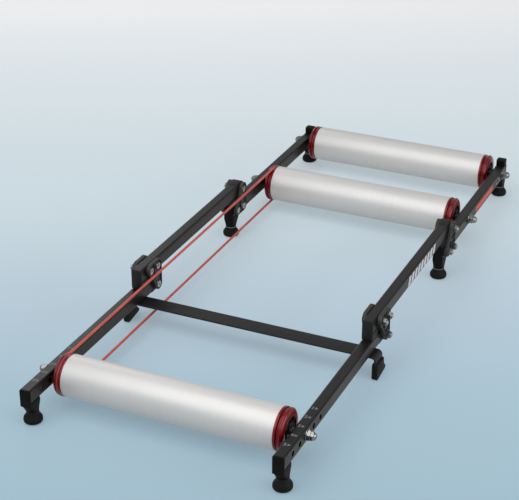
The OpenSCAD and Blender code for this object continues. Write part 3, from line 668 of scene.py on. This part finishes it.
def rear_knuckle():
    """The middle rail's end: a taller half round with a hump over the rail and a shoe under it."""
    y0, round_r = MIDDLE_REAR, 16.0
    low, high = REAR_PIVOT[1] - round_r, REAR_PIVOT[1] + round_r
    outline = np.concatenate([
        [[y0 - 28, STOP_LOW], [y0 + 6, STOP_LOW], [y0 + 6, low], [REAR_PIVOT[0], low]],
        arc(REAR_PIVOT, round_r, -85, 85, 24),
        [[REAR_PIVOT[0], high], [y0 - 2, high], [y0 - 8, HIGH_TOP], [y0, HIGH_TOP],
         [y0, HIGH_BOTTOM], [y0 - 24, HIGH_BOTTOM], [y0 - 28, low]]])
    return [slab(outline, RAIL_IN, RAIL_OUT, 0.9)]


def stop_plug():
    """The plate over the middle rail's front end, and the block that hangs under the rail."""
    y0, plate_thick, block_from = MIDDLE_FRONT, 3, MIDDLE_FRONT + 1.5
    plate = round_corners([(RAIL_IN, STOP_LOW), (RAIL_OUT, STOP_LOW),
                           (RAIL_OUT, HIGH_TOP), (RAIL_IN, HIGH_TOP)], [0.8, 0.8, 3.5, 3.5])
    block = [[block_from, STOP_LOW], [y0 + 26, STOP_LOW], [y0 + 31, HIGH_BOTTOM], [block_from, HIGH_BOTTOM]]
    return [slab(plate, y0, y0 + plate_thick, 0.8, axis="y"), slab(np.array(block), RAIL_IN, RAIL_OUT, 0.8)]


finish_sides("front_knuckle", front_knuckle(), "front_frame", nylon, "front_knuckle")
finish_sides("rear_knuckle", rear_knuckle(), "middle_frame", nylon, "middle_knuckle")
finish_sides("stop_plug", stop_plug(), "middle_frame", nylon, "middle_plug")


# Hinge plates: a pair on each hinge, moulded in black nylon with a shallow pocket on the open
# side, two ribs across it and a rim round it. One slanted side curves in a little.
PLATE_R, PLATE_UP, SCOOP, POCKET_RIM = 12.5, 2.0, 3.5, 2.5
BOLT_GAP, HIGH_Z = 27, 100
INNER_BACK, INNER_FLOOR, INNER_FACE = 223.6, 220.1, 216.6
OUTER_BACK, OUTER_FLOOR, OUTER_FACE = 245.4, 249.9, 253.4


def anticlockwise(outline):
    """The loop in the order that has its inside on the left, by the sign of its area."""
    outline = np.asarray(outline, float)
    x, y = outline.T
    area = np.sum(x * np.roll(y, -1) - y * np.roll(x, -1))
    return outline if area > 0 else outline[::-1]


def plate_loop(corners, inset):
    """Round corners joined by straight sides, inset evenly. The first side curves in, by a
    parabola close to its arc."""
    corners = [np.array(c, float) + [0, PLATE_UP] for c in corners]
    loop = []
    for index, corner in enumerate(corners):
        before, after = corners[index - 1], corners[(index + 1) % 3]
        into, out = corner - before, after - corner
        from_angle = math.degrees(math.atan2(into[1], into[0])) - 90
        turn = (math.degrees(math.atan2(out[1], out[0])) - 90 - from_angle + 180) % 360 - 180
        loop.append(arc(corner, PLATE_R - inset, from_angle, from_angle + turn, 14))
        start = loop[-1][-1]
        right = np.array([out[1], -out[0]]) / np.linalg.norm(out)
        stop = after + right * (PLATE_R - inset)
        share = np.linspace(0, 1, 14)[1:-1, None]
        side = start + (stop - start) * share
        if index == 0:
            side = side - right * (SCOOP * 4 * share * (1 - share))
        loop.append(side)
    return anticlockwise(np.concatenate(loop))


def reach(outline, origin, direction):
    """How far a line from origin runs before it meets the loop."""
    ahead = np.roll(outline, -1, 0) - outline
    across = direction[0] * ahead[:, 1] - direction[1] * ahead[:, 0]
    gap = outline - origin
    distance = (gap[:, 0] * ahead[:, 1] - gap[:, 1] * ahead[:, 0]) / across
    share = (gap[:, 0] * direction[1] - gap[:, 1] * direction[0]) / across
    hits = distance[(distance > 0) & (share >= 0) & (share <= 1)]
    return hits.min()


def hinge_plate(corners, back, face, floor_x):
    """From the back face round the rim to the pocket's floor in one skin, then the ribs."""
    way = 1 if face > back else -1
    steps = [(back, 0.6), (back + way * 0.5, 0.1), (back + way * 0.9, 0.0), (face - way * 0.6, 0.0),
             (face - way * 0.3, 0.08), (face - way * 0.08, 0.3), (face, 0.6), (face, POCKET_RIM - 0.5),
             (face - way * 0.3, POCKET_RIM - 0.1), (face - way * 0.8, POCKET_RIM),
             (floor_x + way * 0.8, POCKET_RIM), (floor_x + way * 0.25, POCKET_RIM + 0.25),
             (floor_x, POCKET_RIM + 0.8)]
    loops = []
    for x, inset in steps:
        flat = plate_loop(corners, inset)
        loops.append(np.column_stack([np.full(len(flat), x), flat]))
    parts = [loft(loops)]
    pocket = plate_loop(corners, POCKET_RIM)
    last = np.array(corners[2], float)
    for corner in corners[:2]:
        middle = (np.array(corner, float) + last) / 2
        line = (last - corner) / np.linalg.norm(last - corner)
        across = np.array([-line[1], line[0]])
        up, down = reach(pocket, middle, across), reach(pocket, middle, -across)
        rib = np.array([middle + across * up + line, middle - across * down + line,
                        middle - across * down - line, middle + across * up - line])
        near, far = sorted((floor_x - way * 0.5, face - way * 0.5))
        parts.append(slab(anticlockwise(rib), near, far, 0.35, steps=3))
    return parts


def plate_pair(corners):
    """Inner and outer plate of one hinge, with a boss for each nut in the outer one's pocket."""
    parts = (hinge_plate(corners, OUTER_BACK, OUTER_FACE, OUTER_FLOOR)
             + hinge_plate(corners, INNER_BACK, INNER_FACE, INNER_FLOOR))
    boss = [(OUTER_FLOOR - 0.9, 5.0), (OUTER_FLOOR - 0.9, 9.5), (OUTER_FACE - 0.5, 9.5), (OUTER_FACE, 9.0),
            (OUTER_FACE, 5.0)]
    return parts + [turned(boss, (0, y, z)) for y, z in corners]


FRONT_CORNERS = [(FRONT_PIVOT[0] - BOLT_GAP, HIGH_Z), (FRONT_PIVOT[0], AXLE_Z), (FRONT_PIVOT[0], HIGH_Z)]
REAR_CORNERS = [(REAR_PIVOT[0], HIGH_Z), (REAR_PIVOT[0] - BOLT_GAP, AXLE_Z), (REAR_PIVOT[0], AXLE_Z)]
# The plates' black nylon is painted lighter, 303030 against 161616, for the side light from the right that
# falls on them.
plate_nylon_painted_lighter = moulded_nylon("moulded_nylon_plates_painted_lighter", "303030", 0.46)
HINGES = (("front", FRONT_CORNERS, "middle_frame"), ("rear", REAR_CORNERS, "rear_frame"))
for place, corners, body in HINGES:
    finish_sides(place + "_plates", plate_pair(corners), body, plate_nylon_painted_lighter,
                 place + "_hinge_plates")


# Hinge bolts and nuts: M8 socket-head bolts, zinc plated, with hex nuts on the outer bosses.
# The nut's corners are chamfered, and a little thread shows beyond it.
thread_steel = plated_steel("zinc_plated_thread", "B9BBBE", 0.3, thread=1.25)
dress(["front_hinge_bolts", "front_pivot_bolts", "rear_hinge_bolts", "rear_pivot_bolts"], thread_steel)


def hex_nut(x0, x1, flats, y, z, bore):
    """A prism on six flats, with a bore through it. Its radius is half the flats over the cosine
    of the angle from the nearest flat's middle, cut by a cone at both ends."""
    count = 60
    turn = np.linspace(0, 2 * math.pi, count, endpoint=False)
    fold = (turn + math.pi / 6) % (math.pi / 3) - math.pi / 6
    prism = flats / 2 / np.cos(fold)
    along = np.array([x0, x0, x0 + 0.5, x0 + 1.0, x0 + 1.5, x1 - 1.5, x1 - 1.0, x1 - 0.5, x1, x1])
    cone = flats * 0.48 + np.minimum(along - x0, x1 - along) * 1.6
    radius = np.minimum(prism[None, :], cone[:, None])
    radius[[0, -1]] = bore
    loops = [np.repeat(along[:, None], count, 1), y + radius * np.cos(turn), z + radius * np.sin(turn)]
    return loft(np.stack(loops, -1), closed_along=True)


def both_sides(parts):
    """Parts of the right side with their mirrored copies."""
    return parts + [mirrored(part) for part in parts]


HINGE_NUT_THICK, HINGE_NUT_FLATS, HINGE_NUT_BORE = 6.5, 13, 4.02


def nut_set(corners):
    """A nut on each bolt of a hinge, on both sides."""
    end = OUTER_FACE + HINGE_NUT_THICK
    return both_sides([hex_nut(OUTER_FACE, end, HINGE_NUT_FLATS, y, z, HINGE_NUT_BORE) for y, z in corners])


for place, corners, body in HINGES:
    piece(place + "_nuts", nut_set(corners), body, dull_zinc, [place + "_hinge_nuts"],
          sharp=25)


# Axles: 10 mm steel rod, fixed in the rails by a washer, a hex nut and a domed nut at each end.
# Inside, a collar and a thin lock nut hold the bearing's inner race. The nuts are bright plated.
AXLES = {"front": FRONT_AXLE_Y, "middle": 888.0 + FRONT_AXLE_Y, "rear": 1140.0 + FRONT_AXLE_Y}
WASHER_THICK, WASHER_R, WASHER_BORE = 1.6, 10.5, 5.1
NUT_THICK, NUT_FLATS, LOCK_THICK, LOCK_FLATS = 6.0, 17, 4.5, 15
DOME_R, DOME_HIGH = 7.0, 5.2


def axle_fixing(y):
    """Washer, chamfered nut, thinner chamfered nut and dome, from the rail outwards."""
    x0 = RAIL_OUT
    x1 = x0 + WASHER_THICK
    x2 = x1 + NUT_THICK
    x3 = x2 + LOCK_THICK
    washer = [(x0, WASHER_BORE), (x0, WASHER_R - 0.3), (x0 + 0.3, WASHER_R), (x1 - 0.3, WASHER_R),
              (x1, WASHER_R - 0.3), (x1, WASHER_BORE)]
    angle = np.linspace(0, math.pi / 2, 12)
    dome = [(x3 - 1.0, 0.0), (x3 - 1.0, DOME_R)]
    dome += [(x3 - 0.2 + DOME_HIGH * math.sin(t), DOME_R * math.cos(t)) for t in angle]
    return [turned(washer, (0, y, AXLE_Z)), hex_nut(x1, x2, NUT_FLATS, y, AXLE_Z, WASHER_BORE),
            hex_nut(x2, x3, LOCK_FLATS, y, AXLE_Z, 4.0), turned(dome, (0, y, AXLE_Z))]


bright = plated_steel("bright_plated_steel", "96989A", 0.17)
zinc = plated_steel("zinc_plated_steel", "C2C4C6", 0.3)
black_oxide = plated_steel("black_oxide_steel", "4A4A4C", 0.38)
for place, fixings in (("front", axle_fixing(AXLES["front"])),
                       ("rear", axle_fixing(AXLES["middle"]) + axle_fixing(AXLES["rear"]))):
    piece(place + "_fixings", both_sides(fixings), place + "_frame", bright,
          [place + "_axle_nuts"], sharp=25)
dress(["front_axle", "middle_axle", "rear_axle"], thread_steel)
dress(["front_axle_collars", "rear_axle_collars"], black_oxide)
dress(["front_bearings", "middle_bearings", "rear_bearings"], zinc)


# Drums: 76 mm aluminium tube, turned and clear anodised to a satin white metal. The lathe leaves
# faint rings round the tube. A cap is pressed in each end.
def satin_aluminium():
    """Anodised satin metal: rings along X of 0.9 mm, wide enough to show, and cloudy roughness."""
    material, tree = blank("satin_anodised_aluminium")
    place = add(tree, "TexCoord").outputs["Object"]
    lathe = add(tree, "Mapping", {"Vector": place, "Scale": (1100.0, 6.0, 6.0)})
    rings = add(tree, "TexNoise", {"Vector": lathe.outputs[0], "Scale": 1.0, "Detail": 2.0})
    cloud = add(tree, "TexNoise", {"Vector": place, "Scale": 22.0, "Detail": 3.0})
    tint = tinted(tree, "D6D5D4", spread(tree, rings.outputs[0], 0.93, 1.04))
    rough = spread(tree, cloud.outputs[0], 0.46, 0.56)
    finish_shader(tree, tint, rough, rings.outputs[0], 0.12, Metallic=0.45)
    return material


DRUM_HALF, DRUM_R, DRUM_BORE = 199.0, 38.0, 35.5
drum_metal = satin_aluminium()
drum_edge = [(DRUM_HALF - 0.5, DRUM_R), (DRUM_HALF - 0.15, DRUM_R - 0.1), (DRUM_HALF, DRUM_R - 0.35),
             (DRUM_HALF, DRUM_BORE)]
drum_profile = [(-x, radius) for x, radius in drum_edge[::-1]] + drum_edge
for roller, y in AXLES.items():
    tube = turned(drum_profile, (0, y, AXLE_Z), count=160)
    piece(roller + "_tube", [tube], roller + "_roller", drum_metal, [roller + "_drum"])


# Pulley caps: a deep red moulded ring pressed in each end of a drum. It has a groove for the belt,
# and a wide land that rounds over to a lip round the hub. The plastic has a fine metallic fleck.
def deep_red_plastic():
    """Semi-gloss red, dark in the depth. The fleck of 0.1 mm is drawn at 0.6 mm, so that it shows."""
    material, tree = blank("deep_red_moulded_plastic")
    place = add(tree, "TexCoord").outputs["Object"]
    fleck = add(tree, "TexVoronoi", {"Vector": place, "Scale": 1600.0})
    cloud = add(tree, "TexNoise", {"Vector": place, "Scale": 60.0})
    tint = between(tree, spread(tree, fleck.outputs["Distance"], 1.0, 0.0, 0.0, 0.7), "5E0710", "981820")
    finish_shader(tree, tint, spread(tree, cloud.outputs[0], 0.24, 0.34), Metallic=0.3, Coat_Weight=0.45,
                  Coat_Roughness=0.1, Specular_IOR_Level=0.2)
    return material


RIM_R, BELT_R, GROOVE_AT, GROOVE_R = 38.6, 36.9, 7.0, 2.8
RED_W, LIP_R, LIP_BACK = 17.0, 24.2, 13.6
CROWN_LONG, CROWN_FULL = 7.8, 0.66
SPIGOT_END, SPIGOT_R, SPIGOT_BORE = -12, 35.2, 31
cap_red = deep_red_plastic()


def pulley_profile():
    """Half section of the cap from the drum outwards: groove, then a crown down to the lip, and
    back behind the lip and through the spigot. The crown is a quarter of an ellipse whose sine
    and cosine are raised to the power 0.66, which fills it out."""
    turn = np.radians(np.linspace(4, 88, 18))
    groove = arc((GROOVE_AT, BELT_R), GROOVE_R, -180, 0, 14)
    crown = np.stack([RED_W - CROWN_LONG - 0.2 + CROWN_LONG * np.sin(turn) ** CROWN_FULL,
                      LIP_R + (RIM_R - LIP_R) * np.cos(turn) ** CROWN_FULL], 1)
    return np.concatenate([
        [(SPIGOT_END, SPIGOT_BORE), (SPIGOT_END, SPIGOT_R), (-0.02, SPIGOT_R)],
        [(0.02, RIM_R - 0.5), (0.2, RIM_R - 0.12), (0.6, RIM_R)],
        [(GROOVE_AT - GROOVE_R - 0.5, RIM_R), (GROOVE_AT - GROOVE_R - 0.1, RIM_R - 0.2)], groove,
        [(GROOVE_AT + GROOVE_R + 0.1, RIM_R - 0.2)], crown,
        [(RED_W - 0.4, LIP_R - 0.2), (LIP_BACK, LIP_R - 0.2), (LIP_BACK, SPIGOT_BORE)]])


# Hub discs: black moulded discs inside the red rings. Each has a shallow web, six ribs and a boss
# that holds the ball bearing.
HUB = [(-12, 27), (-12, 30.98), (13.4, 30.98), (13.4, 19.4), (13.6, 18.0), (14.4, 17.0), (16.4, 16.4),
       (16.8, 16.2), (17.0, 15.6), (17.0, 13.02), (8.0, 13.02), (8.0, 11.0), (5.0, 11.0), (5.0, 16.5),
       (10.4, 16.5), (10.4, 27)]
RIB_BACK, RIB_FACE, RIB_HALF, RIB_FROM, RIB_TO = 12.0, 15.4, 1.3, 16.2, 23.9
hub_nylon = moulded_nylon("moulded_hub_nylon", "0A0A0A", 0.42, gloss=0.14)


def hub_ribs(y):
    """Six ribs from the boss to the lip, each a slab turned about the axle by 60 degrees more."""
    flat = np.array([[RIB_FROM, -RIB_HALF], [RIB_TO, -RIB_HALF], [RIB_TO, RIB_HALF], [RIB_FROM, RIB_HALF]])
    ribs = []
    for turn in np.radians(np.arange(6) * 60.0 + 30.0):
        across = np.array([[math.cos(turn), math.sin(turn)], [-math.sin(turn), math.cos(turn)]])
        ribs.append(slab(flat @ across + [y, AXLE_Z], DRUM_HALF + RIB_BACK, DRUM_HALF + RIB_FACE, 0.4))
    return ribs


for roller, y in AXLES.items():
    cap = turned(pulley_profile() + [DRUM_HALF, 0], (0, y, AXLE_Z), count=128)
    hub = turned(np.array(HUB) + [DRUM_HALF, 0], (0, y, AXLE_Z), count=96)
    piece(roller + "_red_caps", both_sides([cap]), roller + "_roller", cap_red,
          [roller + "_pulley_caps"], sharp=28)
    piece(roller + "_hubs", both_sides([hub, *hub_ribs(y)]), roller + "_roller", hub_nylon,
          [roller + "_hub_discs"], sharp=30)


# Drive belt: a round polyurethane cord welded into a loop, stretched over the left-hand grooves of
# the front and middle drums. It is built in two halves.
def polyurethane_cord():
    """Translucent orange-red cord, with a waxy grain of 1.1 mm. Where it lies in the red groove, the
    colour is painted four fifths of the way to a darker red, as shade."""
    material, tree = blank("polyurethane_cord")
    place = add(tree, "TexCoord").outputs["Object"]
    cloud = add(tree, "TexNoise", {"Vector": place, "Scale": 40.0, "Detail": 2.0})
    fine = add(tree, "TexNoise", {"Vector": place, "Scale": 900.0})
    painted_groove_shade = add(tree, "Attribute", attribute_name="painted_groove_shade").outputs["Fac"]
    free = between(tree, cloud.outputs[0], "A83C34", "C85A4E")
    finish_shader(tree, between(tree, product(tree, painted_groove_shade, 0.8), free, "6E1418"), 0.38, fine.outputs[0], 0.1,
                  Subsurface_Weight=0.15, Subsurface_Scale=0.003, Subsurface_Radius=(1.0, 0.3, 0.2))
    return material


BELT_X, BELT_HALF = -(DRUM_HALF + GROOVE_AT), 2.5
BELT_MIDDLE = 554.0 + FRONT_AXLE_Y  # where the two halves meet
BEND_REACH = 20.0


def cord_tube(path, radius, count=16):
    """Circles square to a path in the side view, at constant X."""
    ahead = np.gradient(path, axis=0)
    ahead /= np.linalg.norm(ahead, axis=1)[:, None]
    side = np.stack([-ahead[:, 1], ahead[:, 0]], 1)
    turn = np.linspace(0, 2 * math.pi, count, endpoint=False)
    ring = path[:, None, :] + side[:, None, :] * (radius * np.cos(turn))[None, :, None]
    x = np.broadcast_to(BELT_X + radius * np.sin(turn), ring.shape[:2])
    return loft(np.concatenate([x[..., None], ring], -1))


def belt_half(axle, hinge, way):
    """One strand from the belt's middle to the drum, half round its groove, and back. Its rings
    stand closer about the hinge. The way is 1 to the front and -1 to the rear."""
    close = np.linspace(hinge - BEND_REACH, hinge + BEND_REACH, 40)
    run = np.unique(np.concatenate([np.linspace(BELT_MIDDLE, axle, 40), close]))[::-way]
    straight_top = np.stack([run, np.full(len(run), AXLE_Z + BELT_R)], 1)
    bend = arc((axle, AXLE_Z), BELT_R, 90, 90 + 180 * way, 48)[1:-1]
    straight_low = np.stack([run[::-1], np.full(len(run), AXLE_Z - BELT_R)], 1)
    return cord_tube(np.concatenate([straight_top, bend, straight_low]), BELT_HALF)


def mark_painted_groove_shade(made, axle, way):
    """Painted groove shade per point: (way (axle - y) + fade) / (2 fade) held in 0 to 1, so 1 in the groove.
    """
    fade = 6
    mesh = made.data
    points = np.empty(3 * len(mesh.vertices))
    mesh.vertices.foreach_get("co", points)
    share = np.clip((way * (axle - points[1::3] / MILLIMETRE) + fade) / (2 * fade), 0, 1)
    mesh.attributes.new("painted_groove_shade", "FLOAT", "POINT").data.foreach_set("value", share)


cord_red = polyurethane_cord()
for name, axle, hinge, way, bodies in (
        ("belt_front_half", "front", FRONT_PIVOT[0], 1, ("front_frame", "middle_frame")),
        ("belt_rear_half", "middle", REAR_PIVOT[0], -1, ("middle_frame", "rear_frame"))):
    ends = [(0, (hinge + side * BEND_REACH) * MILLIMETRE, AXLE_Z * MILLIMETRE) for side in (-1, 1)]
    half = piece(name, [belt_half(AXLES[axle], hinge, way)], (*bodies, *ends), cord_red,
                 ["drive_belt"], sharp=60)
    mark_painted_groove_shade(half, AXLES[axle], way)


# Cross bar: a flat steel strip, 34 by 4 mm, bent down outside the rails and painted black, screwed
# under the front rails. Moulded rubber shoes cover its legs.
def painted_steel():
    """Satin black paint over rolled steel: long faint rolling streaks along X, 2 mm wide."""
    material, tree = blank("painted_rolled_steel")
    place = add(tree, "TexCoord").outputs["Object"]
    rolled = add(tree, "Mapping", {"Vector": place, "Scale": (8.0, 500.0, 500.0)})
    streak = add(tree, "TexNoise", {"Vector": rolled.outputs[0], "Scale": 1.0, "Detail": 2.0})
    tint = tinted(tree, "171717", spread(tree, streak.outputs[0], 0.85, 1.2))
    finish_shader(tree, tint, 0.5, streak.outputs[0], 0.08, Specular_IOR_Level=0.3)
    return material


BAR_Y, BAR_Z, BAR_W, BAR_T, BEND_R = 309 + FRONT_AXLE_Y, 45.0, 34.0, 4.0, 7
LEG_X, LEG_FOOT = 255.0, 10
SHOE_IN, SHOE_OUT = LEG_X - 5.5, LEG_X + 5.5


def bent_strip():
    """The strip's rounded section carried down one leg, round the bend, across, and down again."""
    half = LEG_X - BEND_R
    down = np.stack([np.full(6, LEG_X), np.linspace(LEG_FOOT, BAR_Z - BEND_R, 6)], 1)
    bend = arc((half, BAR_Z - BEND_R), BEND_R, 0, 90, 10)[1:]
    across = np.stack([np.linspace(half, 0, 20), np.full(20, BAR_Z)], 1)[1:]
    right = np.concatenate([down, bend, across])
    path = np.concatenate([right, (right[:-1] * [-1, 1])[::-1]])
    ahead = np.gradient(path, axis=0)
    ahead /= np.linalg.norm(ahead, axis=1)[:, None]
    side = np.stack([-ahead[:, 1], ahead[:, 0]], 1)
    section = rounded_loop(BAR_W, BAR_T, 0.9, 4)
    plane = path[:, None, :] + side[:, None, :] * section[None, :, 1, None]
    y = np.broadcast_to(BAR_Y + section[:, 0], plane.shape[:2])
    return loft(np.stack([plane[..., 0], y, plane[..., 1]], -1))


def rubber_shoe():
    """A block round the leg with a flat sole that rises to the heel at the back, all edges soft."""
    corners = np.array([[-18.5, 4], [-15.5, 0], [-9.25, 0], [27.5, 5.5], [27, 10.5], [18.5, 20], [17, 33],
                        [-15.5, 33], [-18.5, 30]])
    outline = round_corners(corners + [BAR_Y, 0], [2, 1.5, 2, 2.5, 3, 3.5, 1.5, 1.5, 1.5], 4)
    return slab(outline, SHOE_IN, SHOE_OUT, 1.4)


piece("bent_cross_bar", [bent_strip()], "front_frame", painted_steel(), ["cross_bar"])
piece("cross_bar_soles", both_sides([rubber_shoe()]), "front_frame", rubber,
      ["cross_bar_shoes"])
dress(["cross_bar_screws"], dark_zinc_with_painted_shade)
